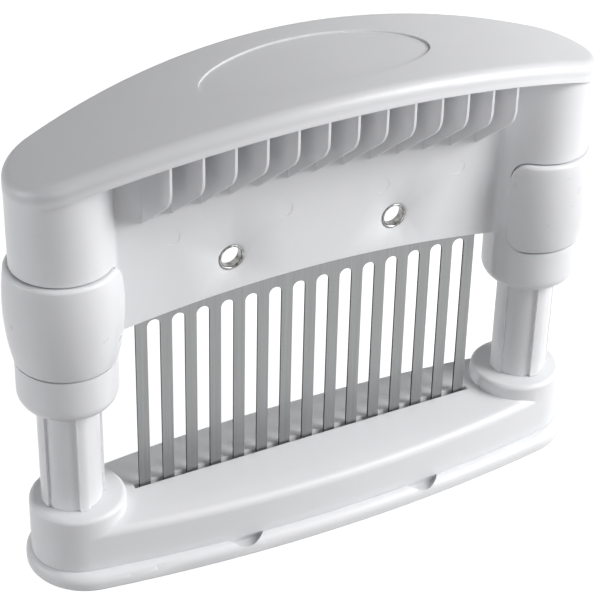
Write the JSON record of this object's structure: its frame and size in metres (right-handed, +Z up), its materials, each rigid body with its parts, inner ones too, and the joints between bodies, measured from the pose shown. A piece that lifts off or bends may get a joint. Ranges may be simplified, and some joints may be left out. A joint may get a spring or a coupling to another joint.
{
  "type": "blade meat tenderizer",
  "caption": "Hand tenderizer for meat: pressing the arched handle drives a comb of steel blades down guide posts through a slot in the base; springs lift it again.",
  "frame": {"origin": "on the surface it stands on, under the middle of the blade slot", "axes": "+X along the length towards the right post, +Y from the front to the back, +Z up along the press stroke"},
  "size_m": [0.1548, 0.0412, 0.1224],
  "materials": {
    "handle_plastic": "satin white moulded plastic",
    "base_plastic": "satin white moulded plastic",
    "post_plastic": "satin white moulded plastic",
    "pad_plastic": "satin white moulded plastic",
    "bush_plastic": "smooth slide plastic",
    "blade_steel": "fine brushed stainless steel",
    "rivet_chrome": "polished",
    "spring_steel": "drawn spring wire",
    "pin_steel": "ground pin",
    "screw_steel": "zinc-plated"
  },
  "bodies": {
    "base": {"bottom_plate": "base_plastic", "base_cover": "base_plastic", "post_screws": "screw_steel", "left_guide_post": "post_plastic", "right_guide_post": "post_plastic", "left_return_spring": "spring_steel", "right_return_spring": "spring_steel"},
    "handle": {"handle_body": "handle_plastic", "blade_comb": "blade_steel", "left_guide_bush": "bush_plastic", "right_guide_bush": "bush_plastic", "left_tube_rivet": "rivet_chrome", "right_tube_rivet": "rivet_chrome", "left_latch_pins": "pin_steel", "right_latch_pins": "pin_steel", "left_latch_leaf": "spring_steel", "right_latch_leaf": "spring_steel"},
    "left_latch": {"left_latch_pad": "pad_plastic"},
    "right_latch": {"right_latch_pad": "pad_plastic"}
  },
  "joints": [
    {"name": "press", "type": "slide", "parent": "base", "child": "handle", "axis": [0, 0, -1], "range_m": [0, 0.027], "stiffness_N_per_m": 900, "springref_m": -0.012, "deforming": ["left_return_spring", "right_return_spring"]},
    {"name": "left_latch_press", "type": "hinge", "parent": "handle", "child": "left_latch", "pos_m": [-0.067, 0, 0.0632], "axis": [0, 1, 0], "range_deg": [0, 1.5], "stiffness_Nm_per_rad": 0.5, "springref_deg": -2.86},
    {"name": "right_latch_press", "type": "hinge", "parent": "handle", "child": "right_latch", "pos_m": [0.067, 0, 0.0632], "axis": [0, -1, 0], "range_deg": [0, 1.5], "stiffness_Nm_per_rad": 0.5, "springref_deg": -2.86}
  ]
}
